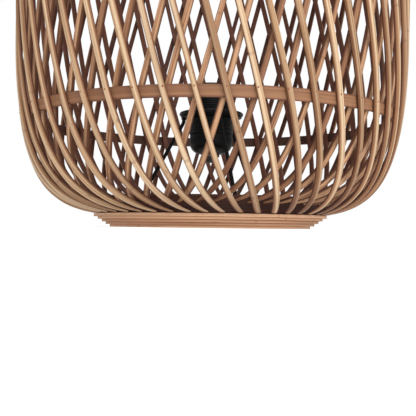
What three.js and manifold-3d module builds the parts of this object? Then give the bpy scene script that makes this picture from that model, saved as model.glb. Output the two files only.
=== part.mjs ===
// Barrel-shaped lamp shade of bent bamboo strips in two crossed layers, nailed to two hoops,
// with stepped rims at both ends and a three-armed fitter clamped on a screw-ring lamp holder.
// Millimetres, +Z up. The origin is on the shade's axis, at the face that it rests on.
// Azimuths run from the front (-Y) towards +X.

import * as THREE from 'three';
import { mergeVertices } from 'three/addons/utils/BufferGeometryUtils.js';
import Module from 'manifold-3d';

const wasm = await Module();
wasm.setup();

// ---------------------------------------------------------------- driving dimensions

const SHADE_HEIGHT = 500;
const SHADE_DIAMETER = 366; // over the outer strips, at mid height
const SIDE_EXPONENT = 3.8; // how straight the sides are
const SHOULDER_EXPONENT = 6.2; // how tightly the ends round in

const STRIP_COUNT = 48; // in each of the two layers
const STRIPS_PER_PANEL = 4;
const STRIP_WIDTH = 4.8;
const STRIP_THICKNESS = 4.3;
const CROSSINGS_BETWEEN_HOOPS = 7;
const END_SWERVE = 1.2; // degrees that a strip turns further by its ends, past the hoops
const SWERVE_POWER = 2.5;
const GLUE_BEAD = 1.6; // side of the bead that joins the lower ends of a panel's strips

const HOOP_HEIGHT = 9.7;
const HOOP_THICKNESS = 3;
const HOOP_FROM_END = 99.2; // from the rim's outer face to the middle of the hoop
const CROSSING_AZIMUTH = 3.75; // degrees, where one pair of strips crosses on a hoop

const RIM_DIAMETER = 221;
const RIM_TURNS = 5;
const TURN_HEIGHT = 2.42;
const TURN_WIDTH = 12;
const TURN_STEP = 3.8; // how much smaller in radius each turn is than the last
const LAST_TURN_WIDTH = 17; // the smallest turn reaches further in, as a ledge

const COLLAR_SETBACK = 3.5; // from the rim's nose in to the collar's outer face
const COLLAR_THICKNESS = 3;
const COLLAR_HEIGHT = 15.3;

const HUB_WIDTH = 8.85; // from its hole to its edge
const HUB_THICKNESS = 1.2;
const HUB_UNDERSIDE = 104.5; // height of the fitter's hub over the shade's foot
const ARM_COUNT = 3;
const ARM_DIAMETER = 3.4;
const ARM_AZIMUTH = 18; // degrees, the first arm
const FOOT_RING_THICKNESS = 1.5;
const FOOT_RING_WIDTH = 7.6;
const SCREW_DIAMETER = 2.5;
const SCREW_HEAD_DIAMETER = 4.6;
const SCREW_LENGTH = 3.6;

const SKIRT_DIAMETER = 39.5; // the holder's threaded skirt
const SKIRT_WALL = 2;
const SKIRT_ABOVE_HUB = 29.5;
const BODY_HEIGHT = 15.8; // the ribbed part under the hub
const BODY_STEP = 1; // how far the ribs stand out from the skirt
const BODY_RIBS = 5;
const SHOULDER_STEP = 1.75; // how far the hub's seat stands out from the skirt
const SHOULDER_HEIGHT = 2.2;
const CAP_HEIGHT = 18;
const CAP_END_DIAMETER = 20;
const CAP_WALL = 2.2;
const CLAMP_RING_WIDTH = 10.35; // from its thread to its edge
const CLAMP_RING_HEIGHT = 3.4;
const BULB_THREAD_DIAMETER = 27; // inside the metal shell
const SHELL_WALL = 0.6;
const SHELL_HEIGHT = 24;
const INSERT_THICKNESS = 9;
const NIPPLE_DIAMETER = 10;
const NIPPLE_BORE = 7;
const NIPPLE_LENGTH = 20;
const NIPPLE_BELOW_CAP = 8;
const NUT_WIDTH = 14; // across the flats
const NUT_HEIGHT = 2.5;

const SEAT_GAP = 0.3; // between two pieces that rest on or in each other
const LAYER_GAP = 0.4; // between the strips and the hoop that they cross
const END_GAP = 0.8; // between a strip's square-cut end and what it stops against
const THREAD_GAP = 0.4; // radial, between a ring and the thread that it runs on

const ROUND_SIDES = 24;
const RIM_SIDES = 30;
const ROD_SIDES = 8;

// ---------------------------------------------------------------- derived places

const MID_HEIGHT = SHADE_HEIGHT / 2;
const SHADE_RADIUS = SHADE_DIAMETER / 2;
const RIM_RADIUS = RIM_DIAMETER / 2;
const RIM_HEIGHT = RIM_TURNS * TURN_HEIGHT;
const COLLAR_RADIUS = RIM_RADIUS - COLLAR_SETBACK;
const DEGREE = Math.PI / 180;

// The strips' outer face ends level with the rim's nose, just over the rim.
const STRIP_END_RADIUS = RIM_RADIUS - SEAT_GAP;
const STRIP_END_ANGLE = Math.acos((STRIP_END_RADIUS / SHADE_RADIUS) ** (SHOULDER_EXPONENT / 2));
const CURVE_HALF_HEIGHT =
  (MID_HEIGHT - RIM_HEIGHT - END_GAP) / Math.sin(STRIP_END_ANGLE) ** (2 / SIDE_EXPONENT);

const OUTER_LAYER_DEPTH = STRIP_THICKNESS / 2;
const HOOP_DEPTH = STRIP_THICKNESS + LAYER_GAP;
const INNER_LAYER_DEPTH = HOOP_DEPTH + HOOP_THICKNESS + LAYER_GAP + STRIP_THICKNESS / 2;

// ---------------------------------------------------------------- materials

const bamboo = material(0xb58a5f, 0.62, 0);
const bambooInside = material(0x8d6443, 0.68, 0);
const bambooHoop = material(0x9c714d, 0.65, 0);
const bambooCollar = material(0x4a3122, 0.7, 0);
const blackSteel = material(0x17171a, 0.45, 0.4);
const blackPlastic = material(0x141416, 0.4, 0);
const whitePlastic = material(0xd9d6cc, 0.5, 0);
const brass = material(0xb08d4a, 0.35, 1);
const zinc = material(0xa9abad, 0.35, 1);

function material(color, roughness, metalness) {
  return new THREE.MeshStandardMaterial({ color, roughness, metalness });
}

// ---------------------------------------------------------------- the shade's curve

// The outer face is a superellipse turned about the axis. Its angle is 0 at mid height and
// grows towards the ends; a negative angle is below mid height and a positive one above.
function curvePoint(angle) {
  const rise = Math.sin(Math.abs(angle)) ** (2 / SIDE_EXPONENT);
  const radius = SHADE_RADIUS * Math.cos(angle) ** (2 / SHOULDER_EXPONENT);
  const height = MID_HEIGHT + Math.sign(angle) * CURVE_HALF_HEIGHT * rise;
  return new THREE.Vector2(radius, height);
}

// The outward normal, from the slope of the superellipse's equation.
function curveNormal(angle) {
  const point = curvePoint(angle);
  const offset = point.y - MID_HEIGHT;
  const across = (SHOULDER_EXPONENT / SHADE_RADIUS) * (point.x / SHADE_RADIUS) ** (SHOULDER_EXPONENT - 1);
  const along =
    (SIDE_EXPONENT / CURVE_HALF_HEIGHT) * (Math.abs(offset) / CURVE_HALF_HEIGHT) ** (SIDE_EXPONENT - 1);
  return new THREE.Vector2(across, Math.sign(offset) * along).normalize();
}

function curvePointInside(angle, depth) {
  return curvePoint(angle).addScaledVector(curveNormal(angle), -depth);
}

function curveAngleAtHeight(height) {
  const offset = height - MID_HEIGHT;
  const rise = Math.abs(offset) / CURVE_HALF_HEIGHT;
  return Math.sign(offset) * Math.asin(rise ** (SIDE_EXPONENT / 2));
}

// A strip that lies without side bend keeps radius x sin(lean) constant: its turning radius.
function turnFromMiddle(angle, turningRadius) {
  const steps = 240;
  let turn = 0;
  let previous = curvePoint(0);
  for (let i = 1; i <= steps; i += 1) {
    const next = curvePoint((Math.abs(angle) * i) / steps);
    const radius = (previous.x + next.x) / 2;
    turn += (turningRadius * previous.distanceTo(next)) / (radius * Math.sqrt(radius ** 2 - turningRadius ** 2));
    previous = next;
  }
  return Math.sign(angle) * turn;
}

// The lean that puts the wanted number of crossings between the two hoops.
function solveTurningRadius(hoopAngle, wantedTurn) {
  let low = 0;
  let high = 0.95 * STRIP_END_RADIUS;
  for (let i = 0; i < 50; i += 1) {
    const middle = (low + high) / 2;
    if (turnFromMiddle(hoopAngle, middle) < wantedTurn) {
      low = middle;
    } else {
      high = middle;
    }
  }
  return (low + high) / 2;
}

const HOOP_ANGLE = curveAngleAtHeight(SHADE_HEIGHT - HOOP_FROM_END);
const HOOP_TURN = (CROSSINGS_BETWEEN_HOOPS * Math.PI) / (2 * STRIP_COUNT);
const TURNING_RADIUS = solveTurningRadius(HOOP_ANGLE, HOOP_TURN);

// Where an inner strip's inner face meets the collar: the leaning end's corner comes nearest.
function solveInnerEndAngle() {
  const cornerReach = (STRIP_WIDTH / 2) * (TURNING_RADIUS / COLLAR_RADIUS);
  const wantedRadius = COLLAR_RADIUS + END_GAP / 2 + cornerReach;
  const faceDepth = INNER_LAYER_DEPTH + STRIP_THICKNESS / 2;
  let low = HOOP_ANGLE;
  let high = Math.PI / 2 - 0.02;
  for (let i = 0; i < 50; i += 1) {
    const middle = (low + high) / 2;
    if (curvePointInside(middle, faceDepth).x > wantedRadius) {
      low = middle;
    } else {
      high = middle;
    }
  }
  return low;
}

// ---------------------------------------------------------------- solids

function atAzimuth(radius, azimuth, height) {
  return new THREE.Vector3(radius * Math.sin(azimuth), -radius * Math.cos(azimuth), height);
}

// A closed solid through rings of corners, with flat ends.
function loft(rings) {
  const sides = rings[0].length;
  const last = (rings.length - 1) * sides;
  const indices = [];
  for (let i = 0; i + 1 < rings.length; i += 1) {
    for (let j = 0; j < sides; j += 1) {
      const a = i * sides + j;
      const b = i * sides + ((j + 1) % sides);
      indices.push(a, b, b + sides, a, b + sides, a + sides);
    }
  }
  for (let j = 1; j + 1 < sides; j += 1) {
    indices.push(0, j + 1, j);
    indices.push(last, last + j, last + j + 1);
  }
  const geometry = new THREE.BufferGeometry().setFromPoints(rings.flat());
  geometry.setIndex(indices);
  return geometry;
}

// A closed profile of [radius, height] points, anticlockwise, turned about the axis.
function turned(profile, sides = ROUND_SIDES, startAzimuth = 0) {
  const points = profile.map(([radius, height]) => new THREE.Vector2(radius, height));
  points.push(points[0].clone());
  const geometry = new THREE.LatheGeometry(points, sides, startAzimuth);
  geometry.rotateX(Math.PI / 2);
  return geometry;
}

function box(innerRadius, outerRadius, bottom, top) {
  return [
    [innerRadius, bottom],
    [outerRadius, bottom],
    [outerRadius, top],
    [innerRadius, top],
  ];
}

function cylinder(radius, bottom, top, sides = ROUND_SIDES) {
  const geometry = new THREE.CylinderGeometry(radius, radius, top - bottom, sides);
  geometry.rotateX(Math.PI / 2);
  geometry.translate(0, 0, (top + bottom) / 2);
  return geometry;
}

function toSolid(geometry) {
  const bare = geometry.clone();
  bare.deleteAttribute('normal');
  bare.deleteAttribute('uv');
  const merged = mergeVertices(bare, 1e-4);
  const mesh = new wasm.Mesh({
    numProp: 3,
    vertProperties: new Float32Array(merged.attributes.position.array),
    triVerts: new Uint32Array(merged.index.array),
  });
  return new wasm.Manifold(mesh);
}

function toGeometry(solid) {
  const mesh = solid.getMesh();
  const geometry = new THREE.BufferGeometry();
  geometry.setAttribute('position', new THREE.BufferAttribute(mesh.vertProperties, 3));
  geometry.setIndex(new THREE.BufferAttribute(mesh.triVerts, 1));
  return geometry;
}

function joined(geometries) {
  return toGeometry(geometries.map(toSolid).reduce((whole, piece) => whole.add(piece)));
}

function cut(geometry, cutters) {
  return toGeometry(cutters.map(toSolid).reduce((whole, piece) => whole.subtract(piece), toSolid(geometry)));
}

// ---------------------------------------------------------------- strips

// Curve angles from the bottom end to the top: close together on the rounded ends, one at
// each edge of a hoop so that the strip is straight across it, and wide apart on the sides.
function stripStations(endAngle) {
  const cornerSteps = 3;
  const sideSteps = 2;
  const hoopOuter = curveAngleAtHeight(SHADE_HEIGHT - HOOP_FROM_END + HOOP_HEIGHT / 2);
  const hoopInner = curveAngleAtHeight(SHADE_HEIGHT - HOOP_FROM_END - HOOP_HEIGHT / 2);
  const upper = [];
  for (let i = 1; i <= sideSteps; i += 1) {
    const height = THREE.MathUtils.lerp(MID_HEIGHT, curvePoint(hoopInner).y, i / sideSteps);
    upper.push(curveAngleAtHeight(height));
  }
  for (let i = 0; i <= cornerSteps; i += 1) {
    upper.push(THREE.MathUtils.lerp(hoopOuter, endAngle, i / cornerSteps));
  }
  const lower = upper.map((angle) => -angle).reverse();
  return [...lower, 0, ...upper];
}

// Past the hoops a strip bends sideways too, and so turns a little further by its ends.
function endSwerve(angle) {
  const share = (Math.abs(angle) - HOOP_ANGLE) / (STRIP_END_ANGLE - HOOP_ANGLE);
  return Math.sign(angle) * END_SWERVE * DEGREE * Math.max(share, 0) ** SWERVE_POWER;
}

// A point on a strip's middle line. The lean is +1 where it turns towards +X going down.
function stripPoint(angle, depth, lean, hoopAzimuth) {
  const inside = curvePointInside(angle, depth);
  const turn = turnFromMiddle(angle, TURNING_RADIUS) + endSwerve(angle) + HOOP_TURN;
  const azimuth = hoopAzimuth - lean * turn;
  return atAzimuth(inside.x, azimuth, inside.y);
}

// The four corners of the strip's square section, with its thickness along the normal.
function stripSection(angle, depth, lean, hoopAzimuth) {
  const nudge = 0.004;
  const centre = stripPoint(angle, depth, lean, hoopAzimuth);
  const ahead = stripPoint(angle + nudge, depth, lean, hoopAzimuth);
  const behind = stripPoint(angle - nudge, depth, lean, hoopAzimuth);
  const along = ahead.sub(behind).normalize();
  const flat = curveNormal(angle);
  const azimuth = Math.atan2(centre.x, -centre.y);
  const outward = atAzimuth(flat.x, azimuth, flat.y);
  const across = new THREE.Vector3().crossVectors(outward, along).normalize();
  const corners = [
    [-1, -1],
    [1, -1],
    [1, 1],
    [-1, 1],
  ];
  return corners.map(([side, face]) =>
    centre
      .clone()
      .addScaledVector(across, (side * STRIP_WIDTH) / 2)
      .addScaledVector(outward, (face * STRIP_THICKNESS) / 2)
  );
}

// A bead of glue, three-sided, that runs straight from each strip's end to the next.
function glueBead(angle, depth, lean, firstAzimuth, pitch) {
  const half = GLUE_BEAD / 2;
  const rings = [];
  for (let i = 0; i < STRIPS_PER_PANEL; i += 1) {
    const centre = stripPoint(angle, depth, lean, firstAzimuth + i * pitch);
    const radius = Math.hypot(centre.x, centre.y);
    const azimuth = Math.atan2(centre.x, -centre.y);
    rings.push([
      atAzimuth(radius - half, azimuth, centre.z - half),
      atAzimuth(radius, azimuth, centre.z + half),
      atAzimuth(radius + half, azimuth, centre.z - half),
    ]);
  }
  return loft(rings);
}

function stripPanel(panel, depth, lean, endAngle) {
  const pitch = (2 * Math.PI) / STRIP_COUNT;
  const stations = stripStations(endAngle);
  const beadAngle = stations[0] + 0.03;
  const first = CROSSING_AZIMUTH * DEGREE + panel * STRIPS_PER_PANEL * pitch;
  const pieces = [glueBead(beadAngle, depth, lean, first, pitch)];
  for (let i = 0; i < STRIPS_PER_PANEL; i += 1) {
    const hoopAzimuth = first + i * pitch;
    pieces.push(loft(stations.map((angle) => stripSection(angle, depth, lean, hoopAzimuth))));
  }
  return joined(pieces);
}

// ---------------------------------------------------------------- hoops, collars and rims

// A flat band between the layers. Its corners lie behind the crossings.
function hoop(side) {
  const middle = SHADE_HEIGHT - HOOP_FROM_END;
  const lowAngle = curveAngleAtHeight(middle - HOOP_HEIGHT / 2);
  const highAngle = curveAngleAtHeight(middle + HOOP_HEIGHT / 2);
  const angles = side > 0 ? [lowAngle, highAngle] : [-highAngle, -lowAngle];
  const outer = angles.map((angle) => curvePointInside(angle, HOOP_DEPTH));
  const inner = angles.map((angle) => curvePointInside(angle, HOOP_DEPTH + HOOP_THICKNESS));
  const profile = [inner[0], outer[0], outer[1], inner[1]].map((point) => [point.x, point.y]);
  return turned(profile, STRIP_COUNT, CROSSING_AZIMUTH * DEGREE);
}

function collar(side) {
  const near = RIM_HEIGHT + SEAT_GAP;
  const far = near + COLLAR_HEIGHT;
  const heights = side > 0 ? [SHADE_HEIGHT - far, SHADE_HEIGHT - near] : [near, far];
  return turned(box(COLLAR_RADIUS - COLLAR_THICKNESS, COLLAR_RADIUS, ...heights), RIM_SIDES);
}

// Turn 1 is the widest, next to the strips, and each later one is a step smaller.
function turnOuterRadius(turn) {
  return RIM_RADIUS - (turn - 1) * TURN_STEP;
}

function turnInnerRadius(turn) {
  return turnOuterRadius(turn) - (turn === RIM_TURNS ? LAST_TURN_WIDTH : TURN_WIDTH);
}

function rimTurn(side, turn) {
  const outer = turnOuterRadius(turn);
  const inner = turnInnerRadius(turn);
  const nose = turn === 1 ? TURN_HEIGHT / 4 : 0;
  const near = (RIM_TURNS - turn) * TURN_HEIGHT;
  const far = near + TURN_HEIGHT - (turn === 1 ? 0 : SEAT_GAP);
  const bottom = side > 0 ? SHADE_HEIGHT - far : near;
  const top = side > 0 ? SHADE_HEIGHT - near : far;
  if (nose === 0) {
    return turned(box(inner, outer, bottom, top), RIM_SIDES);
  }
  const profile = [
    [inner, bottom],
    [outer - nose, bottom],
    [outer, bottom + nose],
    [outer, top - nose],
    [outer - nose, top],
    [inner, top],
  ];
  return turned(profile, RIM_SIDES);
}

// ---------------------------------------------------------------- fitter

const LEDGE_HEIGHT = TURN_HEIGHT; // on the smallest turn, where the fitter's foot ring lies
const FOOT_RING_BOTTOM = LEDGE_HEIGHT;
const FOOT_RING_TOP = FOOT_RING_BOTTOM + FOOT_RING_THICKNESS;
const FOOT_RING_RADIUS = turnInnerRadius(RIM_TURNS - 1) - SEAT_GAP;
const FOOT_RING_INNER = FOOT_RING_RADIUS - FOOT_RING_WIDTH;
const ARM_FOOT_RADIUS = FOOT_RING_INNER + ARM_DIAMETER / 2 + SEAT_GAP;
const SCREW_RADIUS = (FOOT_RING_INNER + FOOT_RING_RADIUS) / 2;
const HUB_HOLE_RADIUS = SKIRT_DIAMETER / 2 + THREAD_GAP;
const HUB_RADIUS = HUB_HOLE_RADIUS + HUB_WIDTH;
const ARM_HEAD_RADIUS = HUB_RADIUS - ARM_DIAMETER / 2 - SEAT_GAP;
const ARM_PITCH = (2 * Math.PI) / ARM_COUNT;

function armAzimuth(arm) {
  return ARM_AZIMUTH * DEGREE + (arm - 1) * ARM_PITCH;
}

function screwAzimuth(screw) {
  return armAzimuth(screw) + ARM_PITCH / 2;
}

function hubRing() {
  return turned(box(HUB_HOLE_RADIUS, HUB_RADIUS, HUB_UNDERSIDE, HUB_UNDERSIDE + HUB_THICKNESS));
}

// A straight rod with a short upright stretch at each end, where it is welded.
function fitterArm(arm) {
  const azimuth = armAzimuth(arm);
  const head = HUB_UNDERSIDE - SEAT_GAP;
  const foot = FOOT_RING_TOP + SEAT_GAP;
  const upright = ARM_DIAMETER;
  const path = new THREE.CatmullRomCurve3([
    atAzimuth(ARM_HEAD_RADIUS, azimuth, head),
    atAzimuth(ARM_HEAD_RADIUS, azimuth, head - upright / 2),
    atAzimuth(ARM_HEAD_RADIUS + upright / 2, azimuth, head - 1.5 * upright),
    atAzimuth(ARM_FOOT_RADIUS - upright / 2, azimuth, foot + 1.5 * upright),
    atAzimuth(ARM_FOOT_RADIUS, azimuth, foot + upright / 2),
    atAzimuth(ARM_FOOT_RADIUS, azimuth, foot),
  ]);
  const round = new THREE.Shape();
  for (let i = 0; i < ROD_SIDES; i += 1) {
    const turn = (2 * Math.PI * i) / ROD_SIDES;
    const x = (ARM_DIAMETER / 2) * Math.cos(turn);
    const y = (ARM_DIAMETER / 2) * Math.sin(turn);
    if (i === 0) {
      round.moveTo(x, y);
    } else {
      round.lineTo(x, y);
    }
  }
  return new THREE.ExtrudeGeometry(round, { steps: 8, bevelEnabled: false, extrudePath: path });
}

function screwHole(screw, radius) {
  const place = atAzimuth(SCREW_RADIUS, screwAzimuth(screw), 0);
  const hole = cylinder(radius, -TURN_HEIGHT, FOOT_RING_TOP + TURN_HEIGHT, ROD_SIDES);
  return hole.translate(place.x, place.y, 0);
}

function screwHoles(radius) {
  return Array.from({ length: ARM_COUNT }, (_, i) => screwHole(i + 1, radius));
}

function footRing() {
  const ring = turned(box(FOOT_RING_INNER, FOOT_RING_RADIUS, FOOT_RING_BOTTOM, FOOT_RING_TOP), RIM_SIDES);
  return cut(ring, screwHoles(SCREW_DIAMETER / 2 + SEAT_GAP));
}

// A pan-head screw from above, through the foot ring into the smallest turn.
function footScrew(screw) {
  const headBottom = FOOT_RING_TOP + SEAT_GAP;
  const headHeight = SCREW_HEAD_DIAMETER / 2.5;
  const tip = headBottom - SCREW_LENGTH;
  const shank = SCREW_DIAMETER / 2;
  const head = SCREW_HEAD_DIAMETER / 2;
  const geometry = new THREE.LatheGeometry(
    [
      new THREE.Vector2(0, tip),
      new THREE.Vector2(shank, tip + shank / 2),
      new THREE.Vector2(shank, headBottom),
      new THREE.Vector2(head, headBottom),
      new THREE.Vector2(head, headBottom + headHeight / 2),
      new THREE.Vector2(0, headBottom + headHeight),
    ],
    ROD_SIDES
  );
  geometry.rotateX(Math.PI / 2);
  const place = atAzimuth(SCREW_RADIUS, screwAzimuth(screw), 0);
  return geometry.translate(place.x, place.y, 0);
}

// ---------------------------------------------------------------- lamp holder

const SKIRT_RADIUS = SKIRT_DIAMETER / 2;
const SKIRT_INNER = SKIRT_RADIUS - SKIRT_WALL;
const BODY_RADIUS = SKIRT_RADIUS + BODY_STEP;
const SKIRT_TOP = HUB_UNDERSIDE + HUB_THICKNESS + SKIRT_ABOVE_HUB;
const SHOULDER_TOP = HUB_UNDERSIDE - SEAT_GAP;
const BODY_BOTTOM = SHOULDER_TOP - BODY_HEIGHT;
const CAP_TOP = BODY_BOTTOM - SEAT_GAP;
const CAP_BOTTOM = CAP_TOP - CAP_HEIGHT;
const INSERT_BOTTOM = BODY_BOTTOM + SEAT_GAP;
const INSERT_TOP = INSERT_BOTTOM + INSERT_THICKNESS;
const CLAMP_RING_BOTTOM = HUB_UNDERSIDE + HUB_THICKNESS + SEAT_GAP;

// The moulded outer sleeve: ribs for the fingers, a shoulder for the hub, then the thread.
function holderSkirt() {
  const shoulder = SKIRT_RADIUS + SHOULDER_STEP;
  const ribbed = BODY_HEIGHT - SHOULDER_HEIGHT;
  const ribPitch = ribbed / BODY_RIBS;
  const groove = SKIRT_WALL / 4;
  const profile = [[SKIRT_INNER, BODY_BOTTOM]];
  for (let i = 0; i < BODY_RIBS; i += 1) {
    const start = BODY_BOTTOM + i * ribPitch;
    profile.push([BODY_RADIUS - groove, start]);
    profile.push([BODY_RADIUS, start + groove]);
    profile.push([BODY_RADIUS, start + ribPitch - groove]);
  }
  profile.push([shoulder, SHOULDER_TOP - SHOULDER_HEIGHT]);
  profile.push([shoulder, SHOULDER_TOP]);
  profile.push([SKIRT_RADIUS, SHOULDER_TOP]);
  profile.push([SKIRT_RADIUS, SKIRT_TOP]);
  profile.push([SKIRT_INNER, SKIRT_TOP]);
  return turned(profile);
}

// The bell under it, open above, with a hole for the nipple below.
function holderCap() {
  const top = BODY_RADIUS - CAP_WALL / 4;
  const end = CAP_END_DIAMETER / 2;
  const hole = NIPPLE_DIAMETER / 2 + THREAD_GAP;
  const bend = top - end;
  const arcSteps = 3;
  const profile = [[hole, CAP_BOTTOM]];
  for (let i = 0; i <= arcSteps; i += 1) {
    const turn = (Math.PI / 2) * (i / arcSteps);
    profile.push([end + bend * Math.sin(turn), CAP_BOTTOM + bend * (1 - Math.cos(turn))]);
  }
  profile.push([top, CAP_TOP]);
  profile.push([top - CAP_WALL, CAP_TOP]);
  for (let i = arcSteps; i >= 0; i -= 1) {
    const turn = (Math.PI / 2) * (i / arcSteps);
    const inner = bend - CAP_WALL;
    profile.push([end + inner * Math.sin(turn), CAP_BOTTOM + CAP_WALL + inner * (1 - Math.cos(turn))]);
  }
  profile.push([hole, CAP_BOTTOM + CAP_WALL]);
  return turned(profile);
}

// The insulating disc that carries the metal shell and the contact.
function contactBlock() {
  return turned(box(NIPPLE_BORE / 2, SKIRT_INNER - SEAT_GAP, INSERT_BOTTOM, INSERT_TOP));
}

function bulbShell() {
  const inner = BULB_THREAD_DIAMETER / 2;
  const bottom = INSERT_TOP + SEAT_GAP;
  return turned(box(inner, inner + SHELL_WALL, bottom, bottom + SHELL_HEIGHT));
}

// A bent strip that presses on the bulb's end.
function centreContact() {
  const thickness = SHELL_WALL;
  const reach = BULB_THREAD_DIAMETER / 4;
  const rise = INSERT_THICKNESS / 2;
  const shape = new THREE.Shape();
  shape.moveTo(-reach, 0);
  shape.lineTo(-reach / 4, 0);
  shape.lineTo(reach / 2, rise);
  shape.lineTo(reach, rise - thickness);
  shape.lineTo(reach, rise - 2 * thickness);
  shape.lineTo(reach / 2, rise - thickness);
  shape.lineTo(-reach / 4 + thickness, -thickness);
  shape.lineTo(-reach, -thickness);
  const width = reach;
  const geometry = new THREE.ExtrudeGeometry(shape, { depth: width, bevelEnabled: false });
  geometry.translate(0, INSERT_TOP + SEAT_GAP + thickness, -width / 2);
  geometry.rotateX(Math.PI / 2);
  return geometry;
}

// The ring that screws down the skirt and clamps the fitter's hub on the shoulder.
function clampRing() {
  const inner = SKIRT_RADIUS + THREAD_GAP;
  const outer = inner + CLAMP_RING_WIDTH;
  const top = CLAMP_RING_BOTTOM + CLAMP_RING_HEIGHT;
  const edge = CLAMP_RING_HEIGHT / 3;
  const profile = [
    [inner, CLAMP_RING_BOTTOM],
    [outer - edge, CLAMP_RING_BOTTOM],
    [outer, CLAMP_RING_BOTTOM + edge],
    [outer, top - edge],
    [outer - edge, top],
    [inner, top],
  ];
  return turned(profile);
}

function nipple() {
  const bottom = CAP_BOTTOM - NIPPLE_BELOW_CAP;
  return turned(box(NIPPLE_BORE / 2, NIPPLE_DIAMETER / 2, bottom, bottom + NIPPLE_LENGTH), 16);
}

function locknut() {
  const bottom = CAP_BOTTOM - SEAT_GAP - NUT_HEIGHT;
  const nut = cylinder(NUT_WIDTH / Math.sqrt(3), bottom, bottom + NUT_HEIGHT, 6);
  const hole = cylinder(NIPPLE_DIAMETER / 2 + THREAD_GAP, bottom - 1, bottom + NUT_HEIGHT + 1, 16);
  return cut(nut, [hole]);
}

// ---------------------------------------------------------------- assembly

const lampShade = new THREE.Group();

function add(name, geometry, finish) {
  const mesh = new THREE.Mesh(geometry, finish);
  mesh.name = name;
  lampShade.add(mesh);
}

const innerEndAngle = solveInnerEndAngle();
for (let panel = 0; panel < STRIP_COUNT / STRIPS_PER_PANEL; panel += 1) {
  const label = String(panel + 1).padStart(2, '0');
  add(`outer_strips_${label}`, stripPanel(panel, OUTER_LAYER_DEPTH, 1, STRIP_END_ANGLE), bamboo);
  add(`inner_strips_${label}`, stripPanel(panel, INNER_LAYER_DEPTH, -1, innerEndAngle), bambooInside);
}

for (const [end, side] of [['lower', -1], ['upper', 1]]) {
  add(`${end}_hoop`, hoop(side), bambooHoop);
  add(`${end}_collar`, collar(side), bambooCollar);
  for (let turn = 1; turn <= RIM_TURNS; turn += 1) {
    const ring = rimTurn(side, turn);
    const drilled = side < 0 && turn === RIM_TURNS;
    add(`${end}_rim_turn_${turn}`, drilled ? cut(ring, screwHoles(SCREW_DIAMETER / 2 + SEAT_GAP)) : ring, bamboo);
  }
}

add('fitter_hub', hubRing(), blackSteel);
add('fitter_foot_ring', footRing(), blackSteel);
for (let arm = 1; arm <= ARM_COUNT; arm += 1) {
  add(`fitter_arm_${arm}`, fitterArm(arm), blackSteel);
  add(`foot_screw_${arm}`, footScrew(arm), zinc);
}

add('holder_skirt', holderSkirt(), blackPlastic);
add('holder_cap', holderCap(), blackPlastic);
add('clamp_ring', clampRing(), blackPlastic);
add('contact_block', contactBlock(), whitePlastic);
add('bulb_shell', bulbShell(), brass);
add('centre_contact', centreContact(), brass);
add('nipple', nipple(), zinc);
add('locknut', locknut(), zinc);

export default lampShade;
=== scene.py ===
"""The looks of a bamboo floor lamp's shade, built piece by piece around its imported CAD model."""
from math import acos, cos, pi, radians, sin, sqrt

import bpy
import numpy as np
from mathutils import Matrix, Vector


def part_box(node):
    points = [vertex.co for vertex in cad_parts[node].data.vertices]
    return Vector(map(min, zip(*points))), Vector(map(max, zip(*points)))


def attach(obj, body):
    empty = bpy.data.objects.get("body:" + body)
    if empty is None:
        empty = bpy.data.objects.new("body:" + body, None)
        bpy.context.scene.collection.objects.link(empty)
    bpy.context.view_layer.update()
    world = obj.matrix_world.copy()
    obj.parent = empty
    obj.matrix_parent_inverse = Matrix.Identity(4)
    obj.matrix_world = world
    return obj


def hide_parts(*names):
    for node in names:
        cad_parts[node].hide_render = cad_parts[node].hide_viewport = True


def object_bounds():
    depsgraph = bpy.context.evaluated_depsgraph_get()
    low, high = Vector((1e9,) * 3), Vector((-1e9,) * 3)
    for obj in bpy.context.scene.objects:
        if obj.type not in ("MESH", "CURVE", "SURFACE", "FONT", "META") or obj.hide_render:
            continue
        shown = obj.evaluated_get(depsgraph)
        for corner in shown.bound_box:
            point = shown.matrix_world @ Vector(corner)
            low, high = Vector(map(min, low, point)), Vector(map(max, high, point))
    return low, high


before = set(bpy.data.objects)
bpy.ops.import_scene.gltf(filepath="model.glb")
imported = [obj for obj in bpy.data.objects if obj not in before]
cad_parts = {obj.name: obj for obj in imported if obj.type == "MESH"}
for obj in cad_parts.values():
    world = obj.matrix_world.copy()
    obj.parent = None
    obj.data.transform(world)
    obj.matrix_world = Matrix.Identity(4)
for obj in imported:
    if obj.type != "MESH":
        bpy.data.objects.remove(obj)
cad_low, cad_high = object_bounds()
scene = bpy.context.scene

# ------------------------------------------------------------------------------ camera
# A short telephoto stands just above the floor and looks a little upwards, so that the rim
# is seen edge on and the shade's upper part runs out of the picture.
CAMERA_DISTANCE = 0.7095
CAMERA_HEIGHT = 0.0025
CAMERA_LENS = 64.47
CAMERA_TILT = radians(1.31)
CAMERA_TURN = radians(0.17)
CAMERA_ROLL = radians(0.7)

camera_data = bpy.data.cameras.new("camera")
camera_data.sensor_width = 36
camera_data.lens = CAMERA_LENS
camera_data.clip_start = 0.002
camera = bpy.data.objects.new("camera", camera_data)
scene.collection.objects.link(camera)
camera.matrix_world = (
    Matrix.Translation((0, -CAMERA_DISTANCE, CAMERA_HEIGHT))
    @ Matrix.Rotation(CAMERA_TURN, 4, "Z")
    @ Matrix.Rotation(pi / 2 + CAMERA_TILT, 4, "X")
    @ Matrix.Rotation(CAMERA_ROLL, 4, "Z")
)
scene.camera = camera
scene.view_settings.view_transform = "Standard"


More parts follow.
